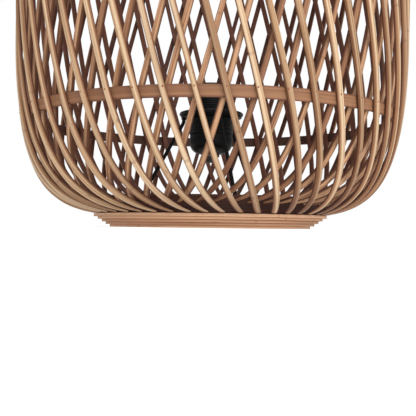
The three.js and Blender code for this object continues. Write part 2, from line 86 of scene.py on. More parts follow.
# ------------------------------------------------------------------------------ outer strips
# 48 bamboo strips, steamed and bent over a mould, lean to the right on their way down. Each
# is split with its skin outwards: a pale sanded face, dark stained sides, and a darker back.
# They are glued by their lower ends in bundles of four and nailed to both hoops.
STRIP_COUNT = 48
STRIPS_PER_BUNDLE = 4
STRIP_WIDTH = 0.0048
STRIP_THICKNESS = 0.0043
SIDE_EXPONENT = 3.8
SHOULDER_EXPONENT = 6.2
CROSSINGS_BETWEEN_HOOPS = 7
END_SWERVE = radians(1.2)
SWERVE_POWER = 2.5
END_TWIST = radians(52)
CROSSING_AZIMUTH = radians(3.75)
SEAT_GAP = 0.0003
END_GAP = 0.0008
HOOP_THICKNESS = 0.003
LAYER_GAP = 0.0004
HOOP_DEPTH = STRIP_THICKNESS + LAYER_GAP
OUTER_PALE = (216, 190, 157)
OUTER_TAN = (172, 134, 97)
OUTER_SIDE = (170, 123, 88)
OUTER_BACK = (96, 58, 42)
randomness = np.random.default_rng(11)

MID_HEIGHT = (cad_low.z + cad_high.z) / 2
SHADE_RADIUS = (cad_high.x - cad_low.x) / 2
RIM_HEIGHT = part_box("lower_rim_turn_1")[1].z
RIM_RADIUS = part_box("lower_rim_turn_1")[1].x
END_RADIUS = RIM_RADIUS - SEAT_GAP
END_ANGLE = acos((END_RADIUS / SHADE_RADIUS) ** (SHOULDER_EXPONENT / 2))
HALF_HEIGHT = (MID_HEIGHT - RIM_HEIGHT - END_GAP) / sin(END_ANGLE) ** (2 / SIDE_EXPONENT)


def curve_point(angle):
    """Radius and height on the shade's outline, a superellipse: the radius is the largest
    radius times cos(angle)^(2/6.2), the rise from mid height grows with sin(angle)^(2/3.8)."""
    radius = SHADE_RADIUS * np.cos(angle) ** (2 / SHOULDER_EXPONENT)
    rise = np.sign(angle) * np.abs(np.sin(angle)) ** (2 / SIDE_EXPONENT)
    return np.stack([radius, MID_HEIGHT + HALF_HEIGHT * rise], -1)


def curve_normal(angle):
    """The outline's outward unit normal, from the gradient of (r/R)^6.2 + (h/H)^3.8 = 1."""
    radius, height = curve_point(angle).T
    rise = (height - MID_HEIGHT) / HALF_HEIGHT
    across = SHOULDER_EXPONENT / SHADE_RADIUS * (radius / SHADE_RADIUS) ** (SHOULDER_EXPONENT - 1)
    along = SIDE_EXPONENT / HALF_HEIGHT * np.sign(rise) * np.abs(rise) ** (SIDE_EXPONENT - 1)
    normal = np.stack([across, along], -1)
    return normal / np.linalg.norm(normal, axis=-1, keepdims=True)


def turn_from_middle(angle, turning_radius):
    """How far a strip has turned about the axis: the sum of c ds / (r sqrt(r^2 - c^2)), the
    path of a strip that lies flat without side bend, with c its turning radius."""
    fine = np.linspace(0, 1, 600) ** 2 * END_ANGLE
    points = curve_point(fine)
    steps = np.linalg.norm(np.diff(points, axis=0), axis=1)
    radius = (points[1:, 0] + points[:-1, 0]) / 2
    turn = np.cumsum(turning_radius * steps / (radius * np.sqrt(radius**2 - turning_radius**2)))
    return np.sign(angle) * np.interp(np.abs(angle), fine, np.concatenate([[0], turn]))


def angle_inside(height, depth):
    """The angle at which the outline, moved inwards by depth, has a height: read off a fine
    table of heights."""
    fine = np.linspace(-END_ANGLE, END_ANGLE, 8001)
    heights = curve_point(fine)[:, 1] - depth * curve_normal(fine)[:, 1]
    return float(np.interp(height, heights, fine))


hoop_low, hoop_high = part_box("upper_hoop")
HOOP_ANGLE = angle_inside((hoop_low.z + hoop_high.z) / 2, HOOP_DEPTH + HOOP_THICKNESS / 2)
HOOP_TURN = CROSSINGS_BETWEEN_HOOPS * pi / (2 * STRIP_COUNT)

# The turning radius that brings a strip to the hoop's turn, found by halving an interval.
low_radius, high_radius = 0.0, 0.95 * END_RADIUS
for halving in range(40):
    TURNING_RADIUS = (low_radius + high_radius) / 2
    if turn_from_middle(HOOP_ANGLE, TURNING_RADIUS) < HOOP_TURN:
        low_radius = TURNING_RADIUS
    else:
        high_radius = TURNING_RADIUS


def past_hoop(angle):
    """0 as far as the hoop, then growing evenly with the angle to 1 at the outer strips' end."""
    return ((np.abs(angle) - HOOP_ANGLE) / (END_ANGLE - HOOP_ANGLE)).clip(0, 1)


def strip_centre(angle, depth, lean, azimuth, drift=0):
    """A strip's middle line: the outline moved inwards by depth, turned about the axis, a
    little more by its ends, and shifted sideways by the drift."""
    flat = curve_point(angle) - depth * curve_normal(angle)
    swerve = np.sign(angle) * END_SWERVE * past_hoop(angle) ** SWERVE_POWER
    turned = azimuth - lean * (turn_from_middle(angle, TURNING_RADIUS) + swerve + HOOP_TURN)
    turned = turned + drift / flat[..., 0]
    radius, height = flat[..., 0], flat[..., 1]
    return np.stack([radius * np.sin(turned), -radius * np.cos(turned), height], -1)


def outward_at(angle, centre):
    """The outline's normal turned to the azimuth of a point."""
    normal = curve_normal(angle)
    radial = centre[..., :2] / np.linalg.norm(centre[..., :2], axis=-1, keepdims=True)
    return np.concatenate([normal[..., :1] * radial, normal[..., 1:]], -1)


def swept(centre, across, outward, section):
    """Rings of points: each station's centre plus the section's two coordinates along the
    station's across and outward directions."""
    return (
        centre[..., None, :]
        + across[..., None, :] * section[..., 0:1]
        + outward[..., None, :] * section[..., 1:2]
    )


def tubes(rings):
    """Points and faces of closed tubes from an array (tube, station, corner, xyz): quads
    between stations, and a fan of triangles to a middle point at each end."""
    count, stations, corners, _ = rings.shape
    index = np.arange(count * stations * corners).reshape(count, stations, corners)
    ahead = np.roll(index, -1, axis=2)
    quads = np.stack([index[:, :-1], ahead[:, :-1], ahead[:, 1:], index[:, 1:]], -1).reshape(-1, 4)
    first = index.size + np.arange(count)[:, None]
    last = first + count
    first_fan = np.stack([ahead[:, 0], index[:, 0], first + 0 * index[:, 0]], -1).reshape(-1, 3)
    last_fan = np.stack([index[:, -1], ahead[:, -1], last + 0 * index[:, -1]], -1).reshape(-1, 3)
    ends = np.concatenate([rings[:, 0].mean(axis=1), rings[:, -1].mean(axis=1)])
    return np.concatenate([rings.reshape(-1, 3), ends]), [quads, first_fan, last_fan]


def on_tubes(values, rings_shape):
    """Values per corner of the rings, with the mean of each end ring for its middle point."""
    values = np.broadcast_to(values, rings_shape[:3] + values.shape[3:])
    ends = np.concatenate([values[:, 0].mean(axis=1), values[:, -1].mean(axis=1)])
    return np.concatenate([values.reshape(-1, *values.shape[3:]), ends])


def new_piece(name, points, faces, material, **attributes):
    """A smooth mesh object from points and arrays of faces, turned so that its faces point
    out, which makes the volume summed over its faces positive."""
    corners = np.concatenate([part.ravel() for part in faces])
    sizes = np.concatenate([np.full(len(part), part.shape[1]) for part in faces])
    starts = np.concatenate([[0], np.cumsum(sizes)[:-1]])
    middle = points.mean(axis=0)
    volume = 0.0
    for part in faces:
        a, b, c, d = (points[part[:, k % part.shape[1]]] - middle for k in (0, 1, 2, -1))
        volume += np.sum(a * np.cross(b, c))
        if part.shape[1] == 4:
            volume += np.sum(a * np.cross(c, d))
    if volume < 0:
        corners = np.concatenate([part[:, ::-1].ravel() for part in faces])
    mesh = bpy.data.meshes.new(name)
    mesh.vertices.add(len(points))
    mesh.vertices.foreach_set("co", points.astype(np.float32).ravel())
    mesh.loops.add(len(corners))
    mesh.loops.foreach_set("vertex_index", corners.astype(np.int32))
    mesh.polygons.add(len(sizes))
    mesh.polygons.foreach_set("loop_start", starts.astype(np.int32))
    mesh.update(calc_edges=True)
    mesh.shade_smooth()
    for label, values in attributes.items():
        kind, field = ("FLOAT_VECTOR", "vector") if values.ndim == 2 else ("FLOAT", "value")
        layer = mesh.attributes.new(label, kind, "POINT")
        layer.data.foreach_set(field, values.astype(np.float32).ravel())
    mesh.materials.append(material)
    piece = bpy.data.objects.new(name, mesh)
    scene.collection.objects.link(piece)
    return piece


class Wire:
    """A shader socket that Python's operators work on: each operator adds one Math node."""

    def __init__(self, tree, socket=None):
        self.tree = tree
        self.socket = socket

    def node(self, kind, settings, inputs, output=0):
        """Any node: its type, its settings, and the values or wires of its inputs."""
        made = self.tree.nodes.new("ShaderNode" + kind)
        for label, value in settings.items():
            setattr(made, label, value)
        for label, value in inputs.items():
            if isinstance(value, Wire):
                self.tree.links.new(value.socket, made.inputs[label])
            else:
                made.inputs[label].default_value = value
        return Wire(self.tree, made.outputs[output])

    def math(self, operation, *values):
        return self.node("Math", {"operation": operation}, dict(enumerate(values)))

    def __add__(self, other):
        return self.math("ADD", self, other)

    def __radd__(self, other):
        return self.math("ADD", other, self)

    def __sub__(self, other):
        return self.math("SUBTRACT", self, other)

    def __rsub__(self, other):
        return self.math("SUBTRACT", other, self)

    def __mul__(self, other):
        return self.math("MULTIPLY", self, other)

    def __rmul__(self, other):
        return self.math("MULTIPLY", other, self)

    def __truediv__(self, other):
        return self.math("DIVIDE", self, other)

    def __abs__(self):
        return self.math("ABSOLUTE", self)


def ramp(value, low, high):
    """A smooth step from 0 where the value is low to 1 where it is high."""
    inputs = {"Value": value, "From Min": low, "From Max": high}
    return value.node("MapRange", {"interpolation_type": "SMOOTHSTEP"}, inputs)


def mixed(factor, first, second):
    """One colour fading into another as the factor goes from 0 to 1."""
    return factor.node("Mix", {"data_type": "RGBA"}, {0: factor, 6: first, 7: second}, 2)


def noise(vector, stretch, detail=2.0, rough=0.5):
    """Noise about 0.5 with so many waves per metre along each axis of the vector."""
    scaled = vector.node("VectorMath", {"operation": "MULTIPLY"}, {0: vector, 1: stretch})
    inputs = {"Vector": scaled, "Scale": 1.0, "Detail": detail, "Roughness": rough}
    return vector.node("TexNoise", {}, inputs)


def multiplied(factor, first, second):
    """The first colour, multiplied by the second as far as the factor says."""
    settings = {"data_type": "RGBA", "blend_type": "MULTIPLY"}
    return first.node("Mix", settings, {0: factor, 6: first, 7: second}, 2)


def colour(red, green, blue):
    """A linear colour from display values of 0 to 255."""
    return tuple((value / 255) ** 2.2 for value in (red, green, blue)) + (1.0,)


def times(tint, factor, lift=0.0):
    """A linear colour made darker by a factor, and lifted evenly."""
    return tuple(factor * part + lift for part in tint[:3]) + (1.0,)


def new_material(name):
    """A material, a wire to start from in its nodes, and the inputs of its shader."""
    material = bpy.data.materials.new(name)
    material.use_nodes = True
    shader = material.node_tree.nodes["Principled BSDF"].inputs
    return material, Wire(material.node_tree), shader


def join_up(wire, socket):
    """Feeds a wire into one of the shader's inputs."""
    wire.tree.links.new(wire.socket, socket)


KNOT_PITCH = 0.27
KNOT_HALF_WIDTH = 0.0007
FIBRE_SHADE = (0.62, 0.56, 0.5, 1)
CLOUD_SHADE = (0.54, 0.43, 0.36, 1)
CLOUD_LIGHT = (1.02, 1.02, 1.02, 1)
KNOT_BROWN = colour(96, 60, 42)
SPECK_BROWN = colour(66, 40, 30)


def bamboo(name, pale, tan_streak, side, back, gloss=0.5, fibre_depth=0.4, bands_across=430):
    """Split bamboo. Fibres run along it as fine streaks, drawn by two noises that are drawn
    out 75 to 290 times along it. The skin is pale, the cut sides take the stain, the back is
    darker, a faint line marks each knot, broad clouds darken a stretch here and there, and small
    dark specks lie along the fibres."""
    material, start, shader = new_material(name)
    fibre = start.node("Attribute", {"attribute_name": "fibre"}, {}, "Vector")
    skin = start.node("Attribute", {"attribute_name": "skin"}, {}, "Fac")
    tone = start.node("Attribute", {"attribute_name": "tone"}, {}, "Fac")
    along = start.node("SeparateXYZ", {}, {0: fibre})
    hairs = noise(fibre, (9, 2600, 2600), 3.0, 0.6)
    bands = noise(fibre, (3.2, bands_across, bands_across), 2.0, 0.5)
    clouds = noise(fibre, (7, 60, 60), 2.0)
    streak = ramp(bands * 0.65 + hairs * 0.35, 0.38, 0.6)
    from_knot = abs(start.math("FRACT", along / KNOT_PITCH) - 0.5) * KNOT_PITCH
    knot = 1 - ramp(from_knot + hairs * 0.0006, KNOT_HALF_WIDTH, 3 * KNOT_HALF_WIDTH)
    face = mixed(streak, tan_streak, pale)
    edge = ramp(skin + (bands - 0.5) * 0.6, 0.2, 0.9)
    cut_side = mixed(streak, times(side, 0.72), side)
    # Faces that turn inwards take the darker back colour, the cut sides the side colour.
    sides_and_back = mixed(ramp(skin + (clouds - 0.5) * 0.5, -0.55, -0.08), back, cut_side)
    body = mixed(edge, sides_and_back, face)
    dark = mixed(ramp(hairs, 0.3, 0.75), FIBRE_SHADE, (1, 1, 1, 1))
    grained = multiplied(fibre_depth, body, dark)
    # The tone attribute also carries painted shade, where the strip ends and the collars lower it.
    cloudy = ramp(clouds * 0.6 + tone * 0.4, 0.1, 0.65)
    toned = multiplied(1.0, grained, mixed(cloudy, CLOUD_SHADE, CLOUD_LIGHT))
    specks = ramp(noise(fibre, (110, 520, 520), 1.0), 0.71, 0.79)
    marked = mixed(specks * 0.5, mixed(knot * 0.28, toned, KNOT_BROWN), SPECK_BROWN)
    join_up(marked, shader["Base Color"])
    join_up(gloss + hairs * 0.22, shader["Roughness"])
    relief = hairs * 0.5 + bands * 0.5 + knot * 0.6
    bump = start.node("Bump", {}, {"Strength": 0.55, "Distance": 0.00018, "Height": relief})
    join_up(bump, shader["Normal"])
    shader["Specular IOR Level"].default_value = 0.4
    return material


SECTION_CORNERS = 28
SKIN_POWER = 2.8
BACK_POWER = 6.0
SKIN_SHARE = 0.66
STRIP_STATIONS = 118
END_ROUNDING = 0.0009
END_SHRINK = 0.28
CROWN_GROOVE = 0.00012
GROOVE_WIDTH = 0.16
NAILING_ERROR = radians(0.22)
LONG_DRIFT = 0.00035
LONG_WAVE, SHORT_WAVE, WIDTH_WAVE = 14, 37, 23  # radians per metre of strip
WANDER = 0.0015
WIDTH_SPREAD = 0.06
WIDTH_SWELL = 0.025
# Painted shade: how far each strip's tone falls towards its ends, past the hoops.
END_PAINTED_SHADE = 0.45
PLANED_LENGTH = 0.026
PLANED_REST = 0.25


def strip_section():
    """The section's outline, from -1 to 1 each way, and how far each corner faces outwards,
    from -1 to 1. It is |x|^n + |y|^n = 1 at even polar angles, with a low power n and most
    of the thickness on the skin's side, and a high power on the back's."""
    polar = 2 * pi * np.arange(SECTION_CORNERS) / SECTION_CORNERS
    x, y = np.cos(polar), np.sin(polar)
    power = np.where(y > 0, SKIN_POWER, BACK_POWER)
    reach = (np.abs(x) ** power + np.abs(y) ** power) ** (-1 / power)
    x, y = reach * x, reach * y
    share = np.where(y > 0, SKIN_SHARE, 1 - SKIN_SHARE)
    slope_x = np.sign(x) * np.abs(x) ** (power - 1)
    slope_y = np.sign(y) * np.abs(y) ** (power - 1) / (2 * share)
    height = 2 * share * y + 1 - 2 * SKIN_SHARE
    return np.stack([x, height], -1), slope_y / np.hypot(slope_x, slope_y)


def even_angles(end_angle):
    """Angles from end to end, even along the outline, with three close together at each end
    for the rounding there."""
    fine = np.linspace(-1, 1, 4001)
    fine = np.sign(fine) * fine**2 * end_angle
    steps = np.linalg.norm(np.diff(curve_point(fine), axis=0), axis=1)
    length = np.concatenate([[0], np.cumsum(steps)])
    rounding = END_ROUNDING * np.array([0, 0.3, 0.65])
    middle = np.linspace(END_ROUNDING, length[-1] - END_ROUNDING, STRIP_STATIONS)
    wanted = np.concatenate([rounding, middle, length[-1] - rounding[::-1]])
    return np.interp(wanted, length, fine), wanted


def strip_bundle(name, bundle, depth, lean, end_angle, material):
    """Four strips side by side. Each keeps its own width, drifts a little sideways in long
    waves, wanders by up to a few millimetres between the hoops, turns its skin outwards past
    them, is planed thinner in a straight slope towards each end, and has its section shrunk
    over the last millimetre."""
    angle, along = even_angles(end_angle)
    count = STRIPS_PER_BUNDLE
    azimuth = CROSSING_AZIMUTH + (bundle * count + np.arange(count)[:, None]) * 2 * pi / STRIP_COUNT
    azimuth = azimuth + NAILING_ERROR * randomness.normal(size=(count, 1)).clip(-1.6, 1.6)
    wave = randomness.uniform(0, 2 * pi, (count, 2, 1))
    long_wave = np.sin(along * LONG_WAVE + wave[:, 0])
    short_wave = np.sin(along * SHORT_WAVE + wave[:, 1])
    drift = LONG_DRIFT * (long_wave + 0.6 * short_wave)
    between_hoops = (1 - (angle / HOOP_ANGLE) ** 2).clip(0, 1)
    drift = drift + WANDER * randomness.normal(size=(count, 1)).clip(-1.7, 1.7) * between_hoops
    centre = np.stack([strip_centre(angle, depth, lean, azimuth[i], drift[i]) for i in range(count)])
    outward = np.stack([outward_at(angle, centre[i]) for i in range(count)])
    tangent = np.gradient(centre, axis=1)
    across = np.cross(outward, tangent)
    across /= np.linalg.norm(across, axis=-1, keepdims=True)
    twist = -lean * END_TWIST * np.sign(angle) * past_hoop(angle) ** 1.5
    cosine, sine = np.cos(twist)[:, None], np.sin(twist)[:, None]
    across, outward = cosine * across + sine * outward, cosine * outward - sine * across
    unit, facing = strip_section()
    spread = randomness.normal(size=(count, 1)).clip(-1.5, 1.5)
    width = STRIP_WIDTH / 2 * (1 + WIDTH_SPREAD * spread)
    width = width * (1 + WIDTH_SWELL * np.sin(along * WIDTH_WAVE + wave[:, 1]))
    from_end = np.minimum(along, along[-1] - along)
    to_end = 1 - (from_end / END_ROUNDING).clip(0, 1)
    shrink = 1 - END_SHRINK * (1 - np.sqrt(1 - to_end**2))
    sides = unit[:, 0] * (width * shrink)[..., None]
    groove = CROWN_GROOVE * np.exp(-((unit[:, 0] / GROOVE_WIDTH) ** 2)) * (facing > 0)
    height = unit[:, 1] * (STRIP_THICKNESS / 2 * shrink)[:, None] - groove
    section = np.stack([sides, height + 0 * sides], -1)
    rings = swept(centre, across, outward, section)
    lowest, highest = rings[..., 2].min(axis=2), rings[..., 2].max(axis=2)
    resting = np.where(angle < 0, lowest, highest)[..., None]
    planed = PLANED_REST + (1 - PLANED_REST) * (from_end / PLANED_LENGTH).clip(0, 1)
    rings[..., 2] = resting + (rings[..., 2] - resting) * planed[:, None]
    shift = randomness.uniform(0, 5, (count, 3))
    fibre = np.stack([along[:, None] + 0 * sides, sides, height + 0 * sides], -1)
    fibre = fibre + shift[:, None, None, :]
    # A random tone for each strip, lowered towards both ends past the hoops as painted shade.
    tone = randomness.uniform(0, 1, (count, 1, 1)) - END_PAINTED_SHADE * past_hoop(angle)[:, None] ** 1.5
    points, faces = tubes(rings)
    return new_piece(
        name,
        points,
        faces,
        material,
        fibre=on_tubes(fibre, rings.shape),
        skin=on_tubes(unit[:, 1] + 0 * sides, rings.shape),
        tone=on_tubes(tone + 0 * sides, rings.shape),
    )


outer_finish = bamboo(
    "pale_bamboo", colour(*OUTER_PALE), colour(*OUTER_TAN), colour(*OUTER_SIDE), colour(*OUTER_BACK)
)
BUNDLES = STRIP_COUNT // STRIPS_PER_BUNDLE
for bundle in range(BUNDLES):
    label = f"{bundle + 1:02d}"
    name = f"outer_bundle_{label}"
    piece = strip_bundle(name, bundle, STRIP_THICKNESS / 2, 1, END_ANGLE, outer_finish)
    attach(piece, "shade")
    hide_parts(f"outer_strips_{label}")


# ------------------------------------------------------------------------------ inner strips
# 48 more strips lean the other way inside the hoops. They are browner than the outer strips,
# end against the collars, and are glued and nailed like them.
INNER_DEPTH = STRIP_THICKNESS * 1.5 + 2 * LAYER_GAP + HOOP_THICKNESS
INNER_PALE = (208, 164, 127)
INNER_TAN = (150, 104, 74)
INNER_SIDE = (130, 86, 60)
INNER_BACK = (104, 62, 44)

collar_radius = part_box("lower_collar")[1].x
inner_end = collar_radius + END_GAP / 2 + STRIP_WIDTH / 2 * TURNING_RADIUS / collar_radius
candidates = np.linspace(HOOP_ANGLE, pi / 2 - 0.02, 2000)
inner_face = curve_point(candidates) - (INNER_DEPTH + STRIP_THICKNESS / 2) * curve_normal(candidates)
INNER_END_ANGLE = candidates[inner_face[:, 0] > inner_end][-1]

inner_finish = bamboo(
    "brown_bamboo", colour(*INNER_PALE), colour(*INNER_TAN), colour(*INNER_SIDE), colour(*INNER_BACK)
)
for bundle in range(BUNDLES):
    label = f"{bundle + 1:02d}"
    name = f"inner_bundle_{label}"
    piece = strip_bundle(name, bundle, INNER_DEPTH, -1, INNER_END_ANGLE, inner_finish)
    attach(piece, "shade")
    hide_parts(f"inner_strips_{label}")


# ------------------------------------------------------------------------------ hoops
# Two flat bands of stained bamboo between the layers, bent round and closed with a slanted
# scarf joint. The strips are nailed through them.
HOOP_HEIGHT = 0.0097
HOOP_EDGE = 0.0007
HOOP_SCARF = 2.2
HOOP_SHARES = np.linspace(0.12, 0.88, 7)
HOOP_FRONT = (152, 110, 80)
HOOP_STREAK = (130, 90, 64)
HOOP_SIDE = (124, 82, 60)
HOOP_BACK = (74, 47, 36)
BAND_STATIONS = 240


def rounded(corners, radius, steps=4):
    """A closed outline or an open path whose every corner becomes a short quadratic curve
    that starts and ends a radius away from it, or at half the side if that is less."""
    corners = np.asarray(corners, float)
    before = np.roll(corners, 1, axis=0) - corners
    after = np.roll(corners, -1, axis=0) - corners
    before *= np.minimum(radius / np.linalg.norm(before, axis=1), 0.48)[:, None]
    after *= np.minimum(radius / np.linalg.norm(after, axis=1), 0.48)[:, None]
    u = np.linspace(0, 1, steps)[None, :, None]
    curve = corners[:, None] + (1 - u) ** 2 * before[:, None] + u**2 * after[:, None]
    return curve.reshape(-1, corners.shape[1])


def ring_outline(inner, outer, bottom, top, edge, steps=4):
    """A rounded rectangle of radii and heights."""
    return rounded([(inner, bottom), (outer, bottom), (outer, top), (inner, top)], edge, steps)


def band_faces(outline):
    """How far each corner of an outline of radii and heights faces away from the axis."""
    step = np.roll(outline, -1, axis=0) - np.roll(outline, 1, axis=0)
    return step[:, 1] / np.linalg.norm(step, axis=1)


def bent_band(name, outline, joint, scarf, material, ripple=0.0, facing=None, tone=0.5):
    """A strip bent round the axis from joint to joint. Its outline of radii and heights is
    carried round; a scarf shifts each height's ends so that the joint is cut at a slant;
    long sine waves swing it in and out by the ripple."""
    middle = outline.mean(axis=0)
    joint_gap = SEAT_GAP / middle[0]
    turn = joint + joint_gap + np.linspace(0, 2 * pi - 2 * joint_gap, BAND_STATIONS)[:, None]
    slant = scarf * (outline[:, 1] - middle[1]) / middle[0]
    azimuth = turn + slant[None, :]
    swing = ripple * (np.sin(3 * azimuth + joint) + 0.6 * np.sin(11 * azimuth + 2 * joint) - 1.6)
    radius = outline[:, 0] + swing
    flat_radius, height = outline[:, 0] + 0 * azimuth, outline[:, 1] + 0 * azimuth
    rings = np.stack([radius * np.sin(azimuth), -radius * np.cos(azimuth), height], -1)[None]
    fibre = np.stack([azimuth * middle[0], height, flat_radius], -1)
    fibre = fibre[None] + randomness.uniform(0, 5, 3)
    if facing is None:
        facing = band_faces(outline)
    points, faces = tubes(rings)
    flat = np.zeros(rings.shape[:3])
    return new_piece(
        name,
        points,
        faces,
        material,
        fibre=on_tubes(fibre, rings.shape),
        skin=on_tubes(flat + facing, rings.shape),
        tone=on_tubes(flat + tone, rings.shape),
    )


hoop_finish = bamboo(
    "hoop_bamboo",
    colour(*HOOP_FRONT),
    colour(*HOOP_STREAK),
    colour(*HOOP_SIDE),
    colour(*HOOP_BACK),
    gloss=0.55,
    fibre_depth=0.2,
    bands_across=240,
)
for end, joint in (("lower", 2.5), ("upper", -1.9)):
    low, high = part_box(f"{end}_hoop")
    middle = (low.z + high.z) / 2
    half = np.array([-1, 1]) * HOOP_HEIGHT / 2
    angles = np.array([angle_inside(middle + part, HOOP_DEPTH + HOOP_THICKNESS / 2) for part in half])
    face = curve_point(angles) - HOOP_DEPTH * curve_normal(angles)
    back = curve_point(angles) - (HOOP_DEPTH + HOOP_THICKNESS) * curve_normal(angles)
    corner_arcs = rounded([back[0], face[0], face[1], back[1]], HOOP_EDGE)
    across_face = face[0] + HOOP_SHARES[:, None] * (face[1] - face[0])
    outline = np.concatenate([corner_arcs[:8], across_face, corner_arcs[8:]])
    # The face darkens towards its top and bottom edges: partly the band's own darker edges, partly
    # painted shade from the strips that cross it.
    crown_with_shaded_edges = 1 - 0.75 * (2 * (outline[:, 1] - outline[:, 1].mean()) / HOOP_HEIGHT) ** 2
    facing = np.where(band_faces(outline) > 0.5, crown_with_shaded_edges, band_faces(outline))
    name = f"{end}_hoop_band"
    piece = bent_band(name, outline, joint, HOOP_SCARF, hoop_finish, facing=facing, tone=0.6)
    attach(piece, "shade")
    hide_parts(f"{end}_hoop")


# ------------------------------------------------------------------------------ nails
# A small iron nail through the middle of each outer strip fixes it to each hoop. The domed
# heads are driven in until they seat, and have gone brown with rust and stain.
NAIL_RADIUS = 0.0008
NAIL_OFF_MIDDLE = 0.0026
NAIL_SIDES = 12
NAIL_DOME = 0.00028
SHANK_DEPTH = 0.0012
SHANK_SHARE = 0.8


def nail_heads(name, end, material):
    """A dome for each strip: circles that shrink as cos and rise as sin of the same angle,
    on the strip's outer face, with a short shank below."""
    low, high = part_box(f"{end}_hoop")
    side = 1 if end == "upper" else -1
    angle = angle_inside((low.z + high.z) / 2 - side * NAIL_OFF_MIDDLE, STRIP_THICKNESS / 2)
    azimuth = CROSSING_AZIMUTH + np.arange(STRIP_COUNT) * 2 * pi / STRIP_COUNT
    nudge = np.array([angle - 0.01, angle, angle + 0.01])
    path = np.stack([strip_centre(nudge, STRIP_THICKNESS / 2, 1, one) for one in azimuth])
    centre = path[:, 1]
    outward = outward_at(np.full(STRIP_COUNT, angle), centre)
    across = np.cross(outward, path[:, 2] - path[:, 0])
    across /= np.linalg.norm(across, axis=1, keepdims=True)
    upward = np.cross(outward, across)
    dome = np.linspace(0, 0.48 * pi, 4)
    size = np.concatenate([[SHANK_SHARE, SHANK_SHARE], np.cos(dome)]) * NAIL_RADIUS
    seat = STRIP_THICKNESS / 2 - 1.2 * CROWN_GROOVE
    rise = seat + np.concatenate([[-SHANK_DEPTH, -0.0001], NAIL_DOME * np.sin(dome)])
    around = 2 * pi * np.arange(NAIL_SIDES) / NAIL_SIDES
    ring = np.cos(around)[:, None] * across[:, None, None]
    ring = size[:, None, None] * (ring + np.sin(around)[:, None] * upward[:, None, None])
    rings = centre[:, None, None] + outward[:, None, None] * rise[:, None, None] + ring
    points, faces = tubes(rings)
    return new_piece(name, points, faces, material)


def metal(name, tint, worn, roughness, metallic, grain, relief, shine=0.5):
    """A metal or a coated metal: fine grain in the bump and the roughness, and scattered
    patches where the surface is rubbed or stained."""
    material, start, shader = new_material(name)
    place = start.node("TexCoord", {}, {}, "Object")
    fine = noise(place, (grain, grain, grain), 3.0)
    patches = noise(place, (90, 90, 90), 4.0, 0.6)
    rubbed = ramp(patches * 0.7 + fine * 0.3, 0.5, 0.72)
    join_up(mixed(rubbed, tint, worn), shader["Base Color"])
    join_up(roughness + 0.18 * fine - 0.12 * rubbed, shader["Roughness"])
    bump = start.node("Bump", {}, {"Strength": 0.5, "Distance": relief, "Height": fine})
    join_up(bump, shader["Normal"])
    shader["Metallic"].default_value = metallic
    shader["Specular IOR Level"].default_value = shine
    return material


RUST = colour(146, 92, 66)
DARK_RUST = colour(96, 58, 44)
nail_finish = metal("rusted_iron", RUST, DARK_RUST, 0.6, 0.0, 4000, 0.0001, 0.3)
for end in ("lower", "upper"):
    piece = nail_heads(f"{end}_nails", end, nail_finish)
    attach(piece, "shade")


# ------------------------------------------------------------------------------ collars
# A band of bamboo stands on each rim, just inside the strips, and holds their ends. It is
# bent round and glued. Its dark brown is painted shade, deepest by the rim.
COLLAR_THICKNESS = 0.003
COLLAR_EDGE = 0.0008
COLLAR_SCARF = 1.5
# Collar colours: brown bamboo darkened as painted shade.
COLLAR_FRONT = (96, 54, 36)
COLLAR_STREAK = (66, 36, 24)
COLLAR_SIDE = (78, 46, 32)
COLLAR_BACK = (46, 28, 21)

collar_shade_finish = bamboo(
    "collar_bamboo_painted_shade",
    colour(*COLLAR_FRONT),
    colour(*COLLAR_STREAK),
    colour(*COLLAR_SIDE),
    colour(*COLLAR_BACK),
    gloss=0.6,
)
for end, joint in (("lower", 0.9), ("upper", 2.2)):
    low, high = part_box(f"{end}_collar")
    outline = ring_outline(high.x - COLLAR_THICKNESS, high.x, low.z, high.z, COLLAR_EDGE)
    from_rim = (outline[:, 1] - outline[:, 1].min()) / (high.z - low.z)
    from_rim = from_rim if end == "lower" else 1 - from_rim
    # Painted shade: the tone falls towards the rim.
    tone = 2.2 * from_rim - 1.6
    piece = bent_band(f"{end}_collar_band", outline, joint, COLLAR_SCARF, collar_shade_finish, tone=tone)
    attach(piece, "shade")
    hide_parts(f"{end}_collar")


# ------------------------------------------------------------------------------ rims
# Each rim is wound from flat bamboo, lap on lap, every lap a step smaller than the one
# before. The last lap is wider, and makes a ledge. The laps' ends meet in long scarf joints.
RIM_TURNS = 5
TURN_WIDTH = 0.012
LAST_TURN_WIDTH = 0.017
LAP_REACH = 0.00012
LAP_EDGE = 0.00045
LAP_SCARF = 6.0
LAP_RIPPLE = 0.00008
RIM_PALE = (224, 182, 146)
RIM_STREAK = (196, 150, 116)
RIM_SIDE = (198, 152, 114)
RIM_BACK = (112, 76, 56)

rim_finish = bamboo(
    "rim_bamboo",
    colour(*RIM_PALE),
    colour(*RIM_STREAK),
    colour(*RIM_SIDE),
    colour(*RIM_BACK),
    gloss=0.5,
    fibre_depth=0.5,
    bands_across=760,
)
for end in ("lower", "upper"):
    for turn in range(1, RIM_TURNS + 1):
        low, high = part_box(f"{end}_rim_turn_{turn}")
        width = LAST_TURN_WIDTH if turn == RIM_TURNS else TURN_WIDTH
        bottom, top = max(low.z - LAP_REACH, cad_low.z), min(high.z + LAP_REACH, cad_high.z)
        outline = ring_outline(high.x - width, high.x, bottom, top, LAP_EDGE)
        joint = 1.3 + 0.9 * turn
        tone = 0.55 + 0.4 * cos(2 * pi * (turn - 1) / 4.5)
        name = f"{end}_rim_lap_{turn}"
        piece = bent_band(name, outline, joint, LAP_SCARF, rim_finish, ripple=LAP_RIPPLE, tone=tone)
        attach(piece, "shade")
        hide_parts(f"{end}_rim_turn_{turn}")


